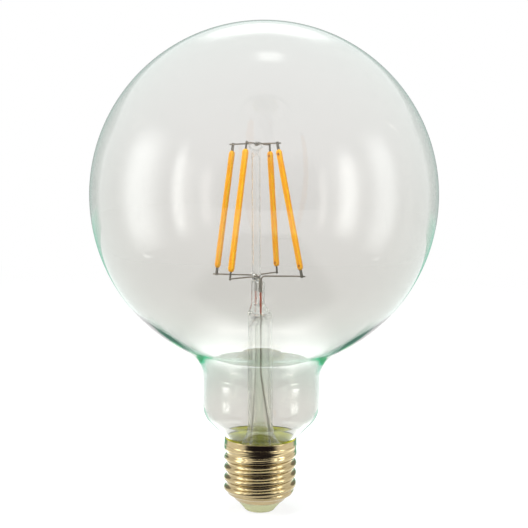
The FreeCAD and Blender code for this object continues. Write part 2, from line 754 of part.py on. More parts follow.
def cap_shell():
    """Thin sheet: turned blank, then the thread rolled in from the outside and pushed out inside."""
    shell = revolved("cap_shell", (
        (COLLAR_INSIDE, s.cap_height),
        (COLLAR_INSIDE, NECK_HIGH),
        (CORE, NECK_LOW),
        (CORE, STEP_UP + (CORE - STEP_IN) * DISH_SLOPE),
        (STEP_IN, STEP_UP),
        (EDGE_IN, s.edge_height),
        (s.edge_radius, s.edge_height),
        (s.step_radius, s.step_height),
        (s.corner_radius, s.corner_height),
        (s.cap_radius, s.thread_bottom),
        (s.cap_radius, NECK_HIGH),
        (s.collar_radius, NECK_HIGH + s.cap_radius - s.collar_radius),
        (s.collar_radius, s.cap_height),
    ))
    rounded(shell, s.cap_sheet / 2, ring_edges(shell.Shape, s.collar_radius, s.cap_height))
    full = THREAD_SIDE
    flank = full / 2
    land = full / 4
    shoulder = (land + full) / 2
    half = s.thread_pitch / 2
    rim = s.cap_sheet / 2
    crest = s.cap_radius - THREAD_ARC
    hollow = THREAD_ROOT + THREAD_ARC
    low = s.thread_start - half
    high = s.thread_start + half
    helical_groove(shell, "thread_outside", [
        (s.cap_radius + s.cap_sheet, low + rim),
        *round_of_thread((crest, low), THREAD_ARC, (land, shoulder, full), True),
        *round_of_thread((hollow, s.thread_start), THREAD_ARC, (-flank, ZERO, flank), False),
        *round_of_thread((crest, high), THREAD_ARC, (-full, -shoulder, -land), True),
        (s.cap_radius + s.cap_sheet, high - rim),
    ], LAST_ROOT - s.thread_start)
    first_crest = high + s.thread_pitch
    low = first_crest - half
    high = first_crest + half
    outer_arc = THREAD_ARC + s.cap_sheet
    helical_groove(shell, "thread_inside", [
        (CORE - s.cap_sheet, low + s.cap_sheet),
        *round_of_thread((hollow, low), outer_arc, (land, full), False),
        *round_of_thread((crest, first_crest), THREAD_ARC - s.cap_sheet, (ZERO,), True),
        *round_of_thread((hollow, high), outer_arc, (-full, -land), False),
        (CORE - s.cap_sheet, high - s.cap_sheet),
    ], s.thread_pitch * 3)
    return shell


def cap_insulator():
    """Moulded cup that carries the contact and holds the shell's edge apart from it."""
    gap = s.insulator_gap
    pocket = s.contact_radius + gap
    foot = s.solder_height + s.contact_stand
    wall = CORE - gap
    inside = wall - s.insulator_wall
    edge = s.contact_radius + s.insulator_foot
    insulator = revolved("cap_insulator", (
        (s.wire_hole, CONTACT_TOP),
        (pocket, CONTACT_TOP),
        (pocket, foot),
        (edge, foot),
        (EDGE_IN - gap, s.edge_height),
        (STEP_IN - gap, STEP_UP + gap),
        (wall, STEP_UP + gap + (wall - STEP_IN + gap) * DISH_SLOPE),
        (wall, s.insulator_top),
        (inside, s.insulator_top),
        (inside, s.insulator_floor),
        (s.wire_hole, s.insulator_floor),
    ))
    rounded(insulator, s.foot_round, ring_edges(insulator.Shape, edge, foot))
    return insulator


def centre_contact():
    """Flat ring in the insulator's pocket."""
    return revolved("centre_contact", (
        (s.contact_hole, s.solder_height),
        (s.contact_radius, s.solder_height),
        (s.contact_radius, CONTACT_TOP),
        (s.contact_hole, CONTACT_TOP),
    ))


def contact_solder():
    """Drop under the contact with a level foot, and the wire's end in the contact's hole."""
    brim = s.solder_radius - s.solder_flat
    round_edge = (brim * brim + s.solder_height * s.solder_height) / (s.solder_height * 2)
    return revolved("contact_solder", (
        (s.solder_flat, ZERO),
        (s.solder_radius, s.solder_height, round_edge, +1),
        (s.contact_hole, s.solder_height),
        (s.contact_hole, CONTACT_TOP),
        (s.hookup_radius, CONTACT_TOP),
        (s.hookup_radius, WIRE_FOOT),
        (ZERO, WIRE_FOOT),
        (ZERO, ZERO),
    ))


def basing_cement(envelope):
    """Ring that fills the space between shell and glass."""
    gap = s.cement_gap
    inner = SKIRT - s.cement_bite
    bottom = SEAL + s.cement_rise
    top = s.cap_height - s.cement_depth
    ring = revolved("cement_blank", (
        (inner, bottom),
        (CORE - gap, bottom),
        (CORE - gap, NECK_LOW),
        (COLLAR_INSIDE - gap, NECK_HIGH),
        (COLLAR_INSIDE - gap, top),
        (inner, top),
    ))
    return cut("basing_cement", ring, envelope)


# Driver inside the cap, standing on the insulator

def driver():
    """Board with its parts on the back, and the resistor in front of it."""
    bottom = s.insulator_top
    back = s.board_face + s.board_thickness
    low = bottom + s.board_margin
    can = vector(-s.capacitor_side, back + s.capacitor_radius + s.weld_gap, low)
    stand = vector(s.resistor_side, -s.resistor_front, RESISTOR_LOW)
    upright = FreeCAD.Rotation()
    return [
        box("driver_board", -s.board_width / 2, s.board_face, bottom,
            s.board_width, s.board_thickness, BOARD_TOP - bottom),
        cylinder("smoothing_capacitor", s.capacitor_radius, BOARD_TOP - s.capacitor_room - low,
                 FreeCAD.Placement(can, upright)),
        box("driver_chip", -s.chip_width / 2, back, low,
            s.chip_width, s.chip_thickness, s.chip_height),
        box("bridge_rectifier", s.rectifier_side - s.rectifier_width / 2, back, low,
            s.rectifier_width, s.rectifier_thickness, s.rectifier_height),
        cylinder("fusible_resistor", s.resistor_radius, RESISTOR_HIGH - RESISTOR_LOW,
                 FreeCAD.Placement(stand, upright)),
    ]


def driver_wires():
    """Contact to resistor, resistor to board, and board to the inside of the shell."""
    x = s.resistor_side
    y = -s.resistor_front
    level = s.insulator_floor + s.resistor_rise / 2
    left = -s.shell_wire_side
    return [
        bent_wire("contact_wire", s.hookup_radius, s.hookup_bend, [
            vector(x, y, RESISTOR_LOW),
            vector(x, y, level),
            vector(0, 0, level),
            vector(0, 0, WIRE_FOOT),
        ]),
        bent_wire("resistor_wire", s.hookup_radius, s.hookup_bend, [
            vector(x, y, RESISTOR_HIGH),
            vector(x, y, RESISTOR_WIRE),
            vector(x, s.board_face, RESISTOR_WIRE),
        ]),
        bent_wire("shell_wire", s.hookup_radius, s.hookup_bend, [
            vector(left, s.board_face, SOLDER_LEVEL),
            vector(left, 0, SOLDER_LEVEL),
            vector(s.drop_radius - CORE, 0, SOLDER_LEVEL),
        ]),
    ]


def shell_solder(wire):
    """Drop of solder between the wire's end and the shell's inside."""
    drop = doc.addObject("Part::Sphere", "solder_drop")
    drop.setExpression("Radius", s.drop_radius.text)
    drop.Placement = FreeCAD.Placement(vector(s.drop_bite - CORE, 0, SOLDER_LEVEL),
                                       FreeCAD.Rotation())
    trimmed = doc.addObject("Part::Common", "trimmed_drop")
    trimmed.Base = drop
    trimmed.Tool = cylinder("shell_core", CORE, s.cap_height, FreeCAD.Placement())
    doc.recompute()
    return cut("shell_solder", trimmed, wire)


# The whole lamp

def whole_lamp():
    envelope = glass_envelope()
    back_left = Filament("back_left", s.back_left_top, s.back_left_bottom)
    front_left = Filament("front_left", s.front_left_top, s.front_left_bottom)
    back_right = Filament("back_right", s.back_right_top, s.back_right_bottom)
    front_right = Filament("front_right", s.front_right_top, s.front_right_bottom)
    below = ANCHOR - s.anchor_radius * 2 - s.anchor_gap
    anchors = [
        anchor_wire("anchor_wire_upper", back_left, front_right, ANCHOR),
        anchor_wire("anchor_wire_lower", front_left, back_right, below),
    ]
    branches = [
        branch_wire(back_left, +1, -1),
        branch_wire(front_left, -1, -1),
        branch_wire(back_right, +1, +1),
        branch_wire(front_right, -1, +1),
    ]
    leads = [
        lead("lead_back", +1, s.back_lead_angle, s.back_lead_end),
        lead("lead_front", -1, s.front_lead_angle, s.front_lead_end),
    ]
    hookups = driver_wires()
    pieces = [
        envelope,
        stem_flare(envelope, leads + branches),
        exhaust_tube(),
        support_rod(anchors),
        *anchors,
        *branches,
        *leads,
        cap_shell(),
        cap_insulator(),
        centre_contact(),
        contact_solder(),
        basing_cement(envelope),
        *driver(),
        *hookups,
        shell_solder(hookups[-1]),
    ]
    for filament in (back_left, front_left, back_right, front_right):
        pieces += filament_pieces(filament)
    return pieces


pieces = whole_lamp()
doc.recompute()

failed = [o.Label for o in doc.Objects if {"Invalid", "Error"} & set(o.State)]
if failed:
    raise RuntimeError("failed: " + ", ".join(failed))
for piece in pieces:
    if piece.Shape.isNull() or not piece.Shape.isValid() or not piece.Shape.Solids:
        raise RuntimeError("bad shape: " + piece.Label)

os.makedirs("parts", exist_ok=True)
for piece in pieces:
    piece.Shape.exportStep(f"parts/{piece.Label}.step")
print(len(pieces), "pieces")
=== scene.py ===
# %% [markdown]
# # A clear globe lamp with straight LED filaments
#
# The part is a blown glass globe on a screw cap. Inside it stands a glass mount with four filaments.
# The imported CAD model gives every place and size. This script gives it the surfaces that the eye sees:
# clear glass with its long highlights, a rolled and plated cap, yellow phosphor and dull thin wires.

# %% Frame
import json
import math

import bpy
import numpy as np
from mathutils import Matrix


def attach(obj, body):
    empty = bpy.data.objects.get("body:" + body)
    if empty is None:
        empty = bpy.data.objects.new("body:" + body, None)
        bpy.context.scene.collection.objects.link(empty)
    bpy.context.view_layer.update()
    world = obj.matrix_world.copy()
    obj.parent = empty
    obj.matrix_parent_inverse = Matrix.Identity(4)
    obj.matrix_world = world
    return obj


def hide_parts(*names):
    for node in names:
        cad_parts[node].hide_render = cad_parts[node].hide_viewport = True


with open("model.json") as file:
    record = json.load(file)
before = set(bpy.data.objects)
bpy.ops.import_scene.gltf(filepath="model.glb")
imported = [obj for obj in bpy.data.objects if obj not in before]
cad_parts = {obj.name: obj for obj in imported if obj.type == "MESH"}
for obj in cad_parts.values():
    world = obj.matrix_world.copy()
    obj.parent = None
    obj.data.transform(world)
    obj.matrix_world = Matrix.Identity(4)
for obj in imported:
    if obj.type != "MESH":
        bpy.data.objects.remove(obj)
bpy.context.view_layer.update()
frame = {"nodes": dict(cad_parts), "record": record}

scene = bpy.context.scene
record = frame["record"]
print(len(frame["nodes"]), "nodes,", len(record["materials"]), "material slots")

# %% [markdown]
# Everything below is worked out in millimetres and turned into metres when a mesh is made, so that the
# numbers read like a drawing. The values repeat the CAD model's, because the pieces stand in its places.

# %% Sizes in millimetres
MM = 0.001
CAP_TOP = 26.3
CAP_RADIUS = 13.1
COLLAR_RADIUS = 13.0
COLLAR_FOOT = 24.15
SHEET = 0.3
PITCH = 3.629
THREAD_DEPTH = 1.096
THREAD_START = 4.54
SKIRT_RADIUS = 11.3
SEAL = 20.9
LEAN = math.radians(1.0)
print("thread turns in the cap:", round((CAP_TOP - THREAD_START) / PITCH, 2))

# %% [markdown]
# ## From a formula to a mesh
#
# Every round piece here is a stack of rings. One could spin a curve with a Screw modifier, but a grid of
# points from a formula lets each ring change its shape, its tilt and its radius, as the screw thread and
# the pinched stem need. A grid of points needs faces between its rings, and each ring closes on itself.

# %% Faces between rings


def ring_faces(rows, columns, looped):
    """Quads from each ring to the next: column c of a row joins column c + 1, counted round the ring."""
    row = np.arange(rows if looped else rows - 1)[:, None]
    column = np.arange(columns)[None, :]
    after = (column + 1) % columns
    above = (row + 1) % rows
    corners = (row * columns + column, row * columns + after,
               above * columns + after, above * columns + column)
    return np.stack(np.broadcast_arrays(*corners), axis=-1).reshape(-1, 4)


def pole_faces(pole, first, columns, flip):
    """Triangles from one pole vertex to the ring that starts at vertex first."""
    column = np.arange(columns)
    after = (column + 1) % columns
    ends = (first + after, first + column) if flip else (first + column, first + after)
    return np.stack((np.full(columns, pole), *ends), axis=-1)


def surface(name, rings, looped=False, poles=None):
    """Mesh object from rings of points in mm, shaped (rows, columns, 3), counterclockwise from above.

    A looped surface joins its last ring to its first. Otherwise each end closes in its pole, a point.
    Rows run down on the outside, which turns the faces outwards.
    """
    rows, columns, _ = rings.shape
    points = rings.reshape(-1, 3)
    quads = ring_faces(rows, columns, looped)
    faces = quads[:, ::-1].tolist()
    if not looped:
        points = np.vstack((points, poles))
        count = rows * columns
        faces += pole_faces(count, 0, columns, False).tolist()
        faces += pole_faces(count + 1, count - columns, columns, True).tolist()
    mesh = bpy.data.meshes.new(name)
    mesh.from_pydata((points * MM).tolist(), [], faces)
    mesh.update()
    mesh.shade_smooth()
    piece = bpy.data.objects.new(name, mesh)
    scene.collection.objects.link(piece)
    print(name, "-", len(mesh.vertices), "vertices,", len(mesh.polygons), "faces")
    return piece


def placed(piece, slot, *nodes):
    """The piece rides on the lamp's one body and stands for its CAD nodes, which it hides. slot is not used.
    """
    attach(piece, "root")
    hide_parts(*nodes)
    return piece


# %% [markdown]
# A turned shape is a profile carried round the axis. A profile is a list of (radius, height) points made
# of arcs and straight runs, with as many points as its curves need.

# %% Profiles
SAME_POINT = 1e-6


def arc(centre, radius, start, end, count):
    """Points on a circle: centre plus radius times (cosine, sine) of evenly spaced angles in degrees."""
    angle = np.radians(np.linspace(start, end, count))
    return np.stack((centre[0] + radius * np.cos(angle), centre[1] + radius * np.sin(angle)), axis=-1)


def run(start, end, count):
    """Evenly spaced points on a straight line, both ends included."""
    share = np.linspace(0, 1, count)[:, None]
    return np.asarray(start) * (1 - share) + np.asarray(end) * share


def joined(*parts):
    """One profile from several, leaving out a point that repeats the one before it."""
    line = np.vstack(parts)
    step = np.linalg.norm(np.diff(line, axis=0), axis=1)
    return line[np.concatenate(([True], step > SAME_POINT))]


def turned(profile, columns):
    """Rings of a profile of (radius, height) carried round the Z axis."""
    angle = np.linspace(0, 2 * np.pi, columns, endpoint=False)
    radius = profile[:, 0][:, None]
    height = np.broadcast_to(profile[:, 1][:, None], (len(profile), columns))
    return np.stack((radius * np.cos(angle), radius * np.sin(angle), height), axis=-1)


def leaned(points):
    """Points of the mount, tilted towards -X about the lower edge of the glass skirt."""
    x, y, z = points[..., 0], points[..., 1], points[..., 2] - SEAL
    across = x * math.cos(LEAN) - z * math.sin(LEAN)
    up = x * math.sin(LEAN) + z * math.cos(LEAN)
    return np.stack((across, y, up + SEAL), axis=-1)


# %% [markdown]
# ## The globe
#
# The globe is blown into a mould in one piece with its neck. Its wall is under a millimetre thick at the
# top and thicker where the glass gathered, at the hollow curve above the neck. A real wall with an
# outside and an inside is what gives each highlight its faint double, so both surfaces are made.

# %% Globe
GLOBE_RADIUS = 62.5
NECK_RADIUS = 21.0
NECK_LENGTH = 8.92
NECK_FILLET = 12.3
SHOULDER_RADIUS = 8.2
SKIRT_FILLET = 2.0
RIM_GAP = 0.2
RIM_INSIDE = COLLAR_RADIUS - SHEET - RIM_GAP
WALL = 0.8
GATHER = 0.8
GATHER_RISE = 26
CONE = math.radians(45)
NEAR_POLE = 89.2
GLOBE_COLUMNS = 192

shoulder_middle = NECK_RADIUS - SHOULDER_RADIUS
cone_start = shoulder_middle + SHOULDER_RADIUS * math.cos(CONE)
cone_end = SKIRT_RADIUS + SKIRT_FILLET * (1 - math.cos(CONE))
shoulder_height = CAP_TOP + cone_start - RIM_INSIDE + SHOULDER_RADIUS * math.sin(CONE)
skirt_top = CAP_TOP + cone_end - RIM_INSIDE - SKIRT_FILLET * math.sin(CONE)
neck_top = shoulder_height + NECK_LENGTH
fillet_reach = NECK_RADIUS + NECK_FILLET
globe_reach = GLOBE_RADIUS + NECK_FILLET
GLOBE_HEIGHT = neck_top + math.sqrt(globe_reach ** 2 - fillet_reach ** 2)
globe_top = GLOBE_HEIGHT + GLOBE_RADIUS
leaving = math.degrees(math.acos(fillet_reach / globe_reach))


def envelope_profile(inset, gather=0.0):
    """Half outline from the top pole down to the skirt's edge, moved inwards by inset.

    gather adds to the inset along the hollow curve, as the square of a sine, where the wall is thick.
    """
    line = joined(
        arc((0, GLOBE_HEIGHT), GLOBE_RADIUS - inset, NEAR_POLE, -leaving, 110),
        arc((fillet_reach, neck_top), NECK_FILLET + inset, 180 - leaving, 180, 22),
        arc((shoulder_middle, shoulder_height), SHOULDER_RADIUS - inset, 0, -45, 12),
        arc((SKIRT_RADIUS + SKIRT_FILLET, skirt_top), SKIRT_FILLET + inset, 135, 180, 8),
        run((SKIRT_RADIUS - inset, skirt_top), (SKIRT_RADIUS - inset, SEAL), 4),
    )
    thick_length = neck_top + GATHER_RISE - shoulder_height
    share = np.clip((line[:, 1] - shoulder_height) / thick_length, 0, 1)
    line[:, 0] -= gather * np.sin(np.pi * share) ** 2
    return line


outside = envelope_profile(0.0)
inside = envelope_profile(WALL, gather=GATHER)
globe_rings = turned(np.vstack((outside, inside[::-1])), GLOBE_COLUMNS)
globe = surface("blown_globe", globe_rings, poles=((0, 0, globe_top), (0, 0, globe_top - WALL)))
placed(globe, "glass", "glass_envelope")

# %% [markdown]
# ## The stem
#
# The stem starts as a tube with a flared foot. The glassmaker softens its top and squeezes it flat round
# the wires, then sets a rod on the pinch and melts the rod's end to a button. Hot glass has no sharp
# edges, so the sections here go from round to flat and back through smooth steps. The rod ends at the
# height that the filaments reach, which stand slanted between a wide circle and a narrow one.

# %% Stem and rod
TUBE_RADIUS = 4.5
TUBE_WALL = 0.9
FLARE_RADIUS = 9.0
FLARE_ANGLE = math.radians(60)
FLARE_NORMAL = np.array((0.5, 0.866))
FLARE_RISE = 1.15
SEAL_BITE = 0.5
CAVITY_HEIGHT = 50.1
DOME = 3.2
TUBE_END = 0.5
SQUEEZE_LENGTH = 3.8
PRESS_LENGTH = 7.7
PRESS_HALF = np.array((4.2, 1.9))
PRESS_SQUARER = 0.7
PRESS_TURN = math.radians(110.5)
PRESS_SHIFT = -0.7
ROD_RADIUS = 1.65
ROD_SHIFT = -1.3
ROD_MELT = 0.5
BUTTON_RADIUS = 2.7
BUTTON_HALF = 1.6
BUTTON_DROP = 0.9
BRANCH_RISE = 1.8
STRIP_LENGTH = 40.0
TAB_LENGTH = 4.8
TAB_OVERHANG = 0.5
TOP_SPREAD = 9.0
BOTTOM_SPREAD = 17.0

CAVITY = SEAL + CAVITY_HEIGHT
ROUND_END = CAVITY + TUBE_END
PRESS_LOW = ROUND_END + SQUEEZE_LENGTH
PRESS_HIGH = PRESS_LOW + PRESS_LENGTH
BRANCH = PRESS_HIGH + BRANCH_RISE
SPAN = STRIP_LENGTH + 2 * (TAB_LENGTH - TAB_OVERHANG)
ANCHOR = BRANCH + math.sqrt(SPAN ** 2 - (BOTTOM_SPREAD - TOP_SPREAD) ** 2)
BUTTON = ANCHOR - BUTTON_DROP


def smoothstep(value, low, high):
    """0 below low, 1 above high, and 3t^2 - 2t^3 between, so that both ends are level."""
    t = np.clip((value - low) / (high - low), 0, 1)
    return t * t * (3 - 2 * t)


def squeezed_rings(height, columns):
    """Outer sections of the stem at each height: round, then flat in the pinch, then the rod's round.

    Each section is a superellipse, |x/a|^n + |y/b|^n = 1, turned to the pinch's wide side.
    """
    flat = smoothstep(height, ROUND_END - 1.2, PRESS_LOW)
    rod = smoothstep(height, PRESS_HIGH - ROD_MELT, PRESS_HIGH + ROD_MELT)
    wide = TUBE_RADIUS + (PRESS_HALF[0] - TUBE_RADIUS) * flat
    narrow = TUBE_RADIUS + (PRESS_HALF[1] - TUBE_RADIUS) * flat
    wide = wide + (ROD_RADIUS - wide) * rod
    narrow = narrow + (ROD_RADIUS - narrow) * rod
    power = 2 + PRESS_SQUARER * flat * (1 - rod)
    shift = PRESS_SHIFT * flat + (ROD_SHIFT - PRESS_SHIFT) * rod
    angle = np.linspace(0, 2 * np.pi, columns, endpoint=False)[None, :]
    cosine, sine = np.cos(angle), np.sin(angle)
    power = power[:, None]
    size = (np.abs(cosine) ** power + np.abs(sine) ** power) ** (-1 / power)
    along = wide[:, None] * size * cosine
    across = narrow[:, None] * size * sine
    x = along * math.cos(PRESS_TURN) - across * math.sin(PRESS_TURN) + shift[:, None]
    y = along * math.sin(PRESS_TURN) + across * math.cos(PRESS_TURN)
    return np.stack((x, y, np.broadcast_to(height[:, None], x.shape)), axis=-1)


def shifted(rings, x):
    """The same rings, moved along X."""
    return rings + np.array((x, 0, 0))


flare_middle = TUBE_RADIUS + FLARE_RADIUS
flare_rim = SKIRT_RADIUS - WALL + SEAL_BITE
curve_end = flare_middle - FLARE_RADIUS * math.cos(FLARE_ANGLE)
curve_low = SEAL + FLARE_RISE + (flare_rim - curve_end) / math.tan(FLARE_ANGLE)
curve_high = curve_low + FLARE_RADIUS * math.sin(FLARE_ANGLE)
rim_out = np.array((flare_rim - 0.55, SEAL + FLARE_RISE + 0.3))
rim_in = rim_out - TUBE_WALL * FLARE_NORMAL

tube_top = ROUND_END - 1.4
rod_bottom = PRESS_HIGH + 0.6
bore = TUBE_RADIUS - TUBE_WALL
neck_of_button = math.degrees(math.acos((ROD_RADIUS - (BUTTON_RADIUS - BUTTON_HALF)) / BUTTON_HALF))
button = joined(
    arc((BUTTON_RADIUS - BUTTON_HALF, BUTTON), BUTTON_HALF, 88, -neck_of_button, 20),
    run((ROD_RADIUS, BUTTON - BUTTON_HALF * 0.9), (ROD_RADIUS, rod_bottom), 16),
)
flare_outside = joined(
    run((TUBE_RADIUS, tube_top), (TUBE_RADIUS, curve_high), 12),
    arc((flare_middle, curve_high), FLARE_RADIUS, 180, 240, 16),
    run((curve_end, curve_low), rim_out, 4),
)
flare_inside = joined(
    run(rim_in, np.array((curve_end, curve_low)) - TUBE_WALL * FLARE_NORMAL, 4),
    arc((flare_middle, curve_high), FLARE_RADIUS + TUBE_WALL, 240, 180, 16),
    run((bore, curve_high), (bore, CAVITY - DOME), 12),
    arc((bore - DOME, CAVITY - DOME), DOME, 0, 89, 18),
)
STEM_COLUMNS = 96
press_rows = np.linspace(rod_bottom, tube_top, 40)[1:-1]
stem_rings = np.concatenate((
    shifted(turned(button, STEM_COLUMNS), ROD_SHIFT),
    squeezed_rings(press_rows, STEM_COLUMNS),
    turned(flare_outside, STEM_COLUMNS),
    turned(flare_inside, STEM_COLUMNS),
))
stem_poles = ((ROD_SHIFT, 0, BUTTON + BUTTON_HALF), (0, 0, CAVITY))
stem = surface("pressed_stem", leaned(stem_rings), poles=leaned(np.array(stem_poles)))
placed(stem, "stem_glass", "stem_flare", "support_rod")

# %% [markdown]
# Air leaves the lamp and gas enters it through a thin tube inside the stem. Its lower end is melted off
# to a point, hidden in the cap. Through the neck it shows as two more pairs of fine lines.

# %% Exhaust tube
EXHAUST_RADIUS = 1.6
EXHAUST_BORE = 1.1
EXHAUST_SHIFT = -0.2
TIP = SEAL - 7.4
TIP_TOP = TIP + 2.6
tube_line = joined(
    [(1.35, CAVITY - 0.15), (EXHAUST_RADIUS, CAVITY - 0.4)],
    run((EXHAUST_RADIUS, CAVITY - 1.0), (EXHAUST_RADIUS, TIP_TOP), 10),
    arc((0.3, TIP + 2.3), 1.3, 0, -60, 6),
    [(0.35, TIP + 0.1)],
    [(0.2, TIP + 0.9), (1.0, TIP_TOP)],
    run((EXHAUST_BORE, TIP + 3.0), (EXHAUST_BORE, CAVITY - 0.4), 10),
)
exhaust_rings = leaned(shifted(turned(tube_line, 48), EXHAUST_SHIFT))
exhaust = surface("exhaust_tube_drawn", exhaust_rings, looped=True)
placed(exhaust, "stem_glass", "exhaust_tube")

# %% [markdown]
# ## The screw cap
#
# The cap is thin brass sheet, drawn to a cup, rolled between two dies and plated with nickel. The thread
# is round both ways, a crest and a root of the same curve, and it fades out below the collar and above
# the dished bottom. A Screw modifier makes a thread of one depth only. Here the radius is a formula of
# angle and height, so the depth can fade, and the wall follows along the surface's own normal.

# %% Thread
FULL_TURN = 3.9
LAST_TURN = 5.3
FADED_LOW = 6.9
FADED_HIGH = 8.3
ARC_RADIUS = (PITCH ** 2 / 16 + THREAD_DEPTH ** 2 / 4) / THREAD_DEPTH


def root_share(turns):
    """1 at a root and 0 at a crest: two equal circle arcs that meet halfway up the flank."""
    away = np.abs(turns - np.round(turns)) * PITCH
    in_root = away < PITCH / 4
    reach = np.where(in_root, away, PITCH / 2 - away)
    sag = ARC_RADIUS - np.sqrt(ARC_RADIUS ** 2 - reach ** 2)
    return np.where(in_root, 1 - sag / THREAD_DEPTH, sag / THREAD_DEPTH)


def thread_drop(angle, height):
    """How far the surface lies below the crests, in mm, at an angle and a height.

    Turns are counted along the helix: height over pitch, less the angle's share of a turn. The last
    turn fades out by its own count, and the first one by height.
    """
    turns = (height - THREAD_START) / PITCH - angle / (2 * np.pi)
    count = np.round(turns) + angle / (2 * np.pi)
    fade = (1 - smoothstep(count, FULL_TURN, LAST_TURN)) * smoothstep(height, FADED_LOW, FADED_HIGH)
    return THREAD_DEPTH * root_share(turns) * fade


shell_line = joined(
    arc((COLLAR_RADIUS - 0.15, CAP_TOP - 0.15), 0.15, 80, 0, 4),
    run((COLLAR_RADIUS, CAP_TOP - 0.2), (COLLAR_RADIUS, COLLAR_FOOT), 12),
    run((CAP_RADIUS, COLLAR_FOOT - 0.15), (CAP_RADIUS, 8.6), 110),
    arc((CAP_RADIUS - 1.3, 8.5), 1.3, 0, -52, 9),
    run((12.3, 7.3), (12.0, 6.95), 2),
    arc((11.2, 7.1), 0.8, -30, -52, 4),
    run((11.2, 6.3), (10.4, 5.78), 4),
    arc((10.9, 5.0), 0.9, 125, 146, 4),
    run((9.9, 5.2), (9.1, 4.25), 5),
)
SHELL_COLUMNS = 200
shell_angle = np.linspace(0, 2 * np.pi, SHELL_COLUMNS, endpoint=False)[None, :]
shell_height = shell_line[:, 1][:, None]
shell_radius = shell_line[:, 0][:, None] - thread_drop(shell_angle, shell_height)


def thickened(radius, height, sheet):
    """The inside of a sheet: each point moved by the sheet's thickness along the outline's normal."""
    height = np.broadcast_to(height, radius.shape)
    radius_step = np.gradient(radius, axis=0)
    height_step = np.gradient(height, axis=0)
    length = np.hypot(radius_step, height_step)
    return radius + sheet * height_step / length, height - sheet * radius_step / length


inner_radius, inner_height = thickened(shell_radius, shell_height, SHEET)


def round_about(radius, height):
    """Points of (radius, height) rings at the shell's angles."""
    height = np.broadcast_to(height, radius.shape)
    return np.stack((radius * np.cos(shell_angle), radius * np.sin(shell_angle), height), axis=-1)


shell_rings = np.concatenate((
    round_about(shell_radius, shell_height),
    round_about(inner_radius, inner_height)[::-1],
))
shell = surface("rolled_cap_shell", shell_rings, looped=True)
placed(shell, "cap_metal", "cap_shell")

# %% [markdown]
# ## The insulator and the contact
#
# Below the shell sits a moulded insulator, with the brass contact let into it. The contact's wire comes
# through its hole and is held by a drop of tin solder, flat and a little uneven, as solder sets.

# %% Insulator
insulator_line = joined(
    run((11.6, 8.8), (11.6, 6.98), 3),
    run((11.5, 6.9), (9.75, 5.76), 4),
    run((9.7, 5.7), (8.58, 4.2), 3),
    run((8.5, 4.1), (5.62, 0.85), 6),
    arc((5.02, 0.98), 0.6, -15, -88, 7),
    [(4.3, 0.4), (4.27, 0.55)],
    run((4.2, 0.56), (0.95, 0.56), 4),
    run((0.9, 0.6), (0.9, 5.1), 4),
    run((1.0, 5.2), (8.3, 5.2), 5),
    run((8.45, 5.35), (8.45, 8.7), 4),
)
insulator = surface("moulded_insulator", turned(insulator_line, 120), looped=True)
placed(insulator, "insulator", "cap_insulator")

# %% Solder
SOLDER_RADIUS = 1.7
SOLDER_DEPTH = 0.15
PLUG_RADIUS = 0.68
PLUG_TOP = 0.54
solder_share = np.linspace(0.12, 1, 9)
solder_angle = np.linspace(0, 2 * np.pi, 48, endpoint=False)
wobble = 1 + 0.05 * np.sin(2 * solder_angle + 0.6) + 0.03 * np.sin(5 * solder_angle)
spread = SOLDER_RADIUS * 0.92 * wobble[None, :]
reach = spread * solder_share[:, None]
sink = SOLDER_DEPTH * (1 - smoothstep(solder_share[:, None], 0.6, 1.05))
level = np.broadcast_to(SOLDER_DEPTH - sink, reach.shape)
under = np.stack((reach * np.cos(solder_angle), reach * np.sin(solder_angle), level), axis=-1)
plug_line = np.array(((0.3, PLUG_TOP), (PLUG_RADIUS, PLUG_TOP), (PLUG_RADIUS, SOLDER_DEPTH)))
solder_rings = np.concatenate((turned(plug_line, 48), under[::-1]))
solder = surface("contact_solder_drop", solder_rings, poles=((0, 0, PLUG_TOP), (0, 0, 0)))
placed(solder, "solder", "contact_solder")

# %% [markdown]
# ## Colours and nodes
#
# Colours are written as sRGB hex, as on a colour card, and one function turns them to the linear values
# that the shaders work in. One more function adds a node with its settings and its links, and a few
# build on it: a sum, a smooth step, and one colour or shader over another.

# %% Helpers for materials
COLOUR_A = 6
COLOUR_B = 7
COLOUR_OUT = 2


def linear(code):
    """sRGB hex to linear: c / 12.92 for dark values and ((c + 0.055) / 1.055)^2.4 for the rest."""
    channels = np.array([int(code[i:i + 2], 16) for i in (1, 3, 5)]) / 255
    light = np.where(channels <= 0.04045, channels / 12.92, ((channels + 0.055) / 1.055) ** 2.4)
    return (*light.tolist(), 1.0)


def node(tree, kind, settings=None, values=None, **links):
    """A shader node: settings are its attributes, values its unlinked sockets, links its linked ones.

    Socket names in links have underscores for spaces. A link is an output socket, or a node, which
    stands for its first output.
    """
    made = tree.nodes.new("ShaderNode" + kind)
    for key, value in (settings or {}).items():
        setattr(made, key, value)
    for key, value in (values or {}).items():
        made.inputs[key].default_value = value
    for key, source in links.items():
        output = source.outputs[0] if hasattr(source, "outputs") else source
        tree.links.new(output, made.inputs[key.replace("_", " ")])
    return made


def maths(tree, operation, first, second=None):
    """Output of a Math node. Either value may be a number, a node or a socket."""
    made = node(tree, "Math", {"operation": operation})
    for place, value in enumerate((first, second)):
        if isinstance(value, (int, float)):
            made.inputs[place].default_value = value
        elif value is not None:
            tree.links.new(value.outputs[0] if hasattr(value, "outputs") else value, made.inputs[place])
    return made.outputs[0]


def eased(tree, low, high, value, top=1.0):
    """Map Range node: 0 at low and top at high, with 3t^2 - 2t^3 between. low may be the larger one."""
    return node(tree, "MapRange", {"interpolation_type": "SMOOTHSTEP"},
                {"From Min": low, "From Max": high, "To Max": top}, Value=value)


